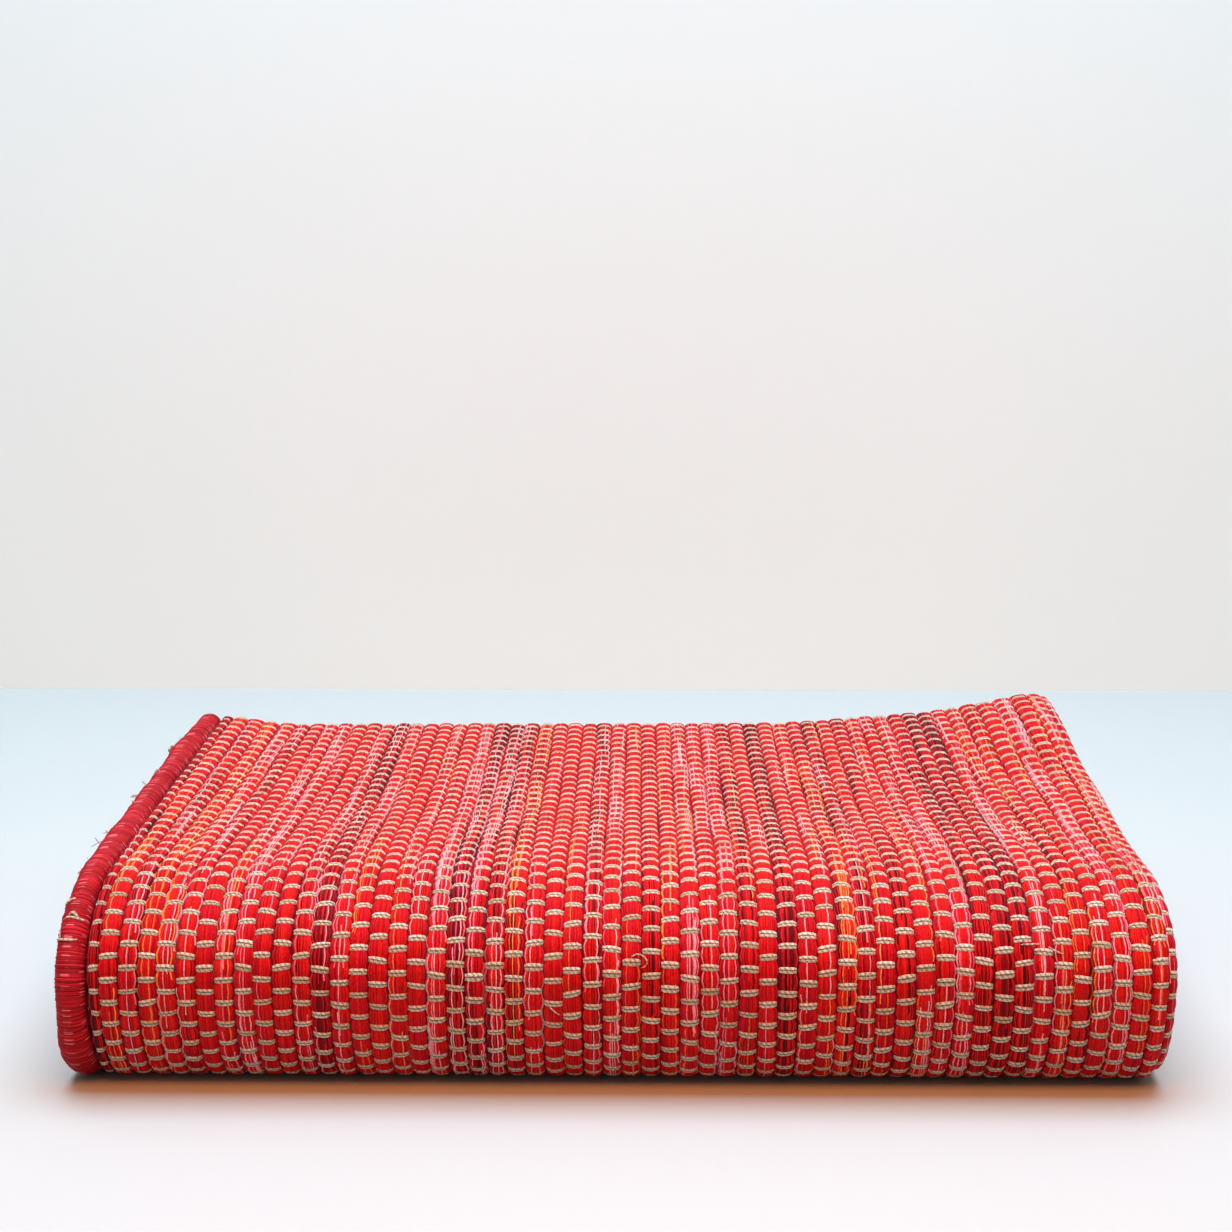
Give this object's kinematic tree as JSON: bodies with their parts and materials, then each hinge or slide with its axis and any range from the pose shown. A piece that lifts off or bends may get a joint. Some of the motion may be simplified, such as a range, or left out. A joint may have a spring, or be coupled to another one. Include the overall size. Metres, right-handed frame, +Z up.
{
  "type": "folded flat-woven rug",
  "caption": "Thick flat-woven runner in red and pink weft cords over a beige jute warp, bound at its ends, folded back and forth and then in half into a flat stack.",
  "frame": {"origin": "on the floor, under the middle of the folded stack", "axes": "+X along the rug's length, from the bound end to the folds; +Y from the round front fold to the loose back edges; +Z up"},
  "size_m": [0.616, 0.4764, 0.1332],
  "materials": {
    "weft_cord": "bundles of fine dyed threads, soft sheen",
    "jute_warp": "natural jute strands, matte",
    "binding_yarn": "fine whipped yarn, silky sheen"
  },
  "bodies": {
    "root": {"rug": "weft_cord", "outer_binding": "binding_yarn", "inner_binding": "binding_yarn"}
  },
  "joints": []
}
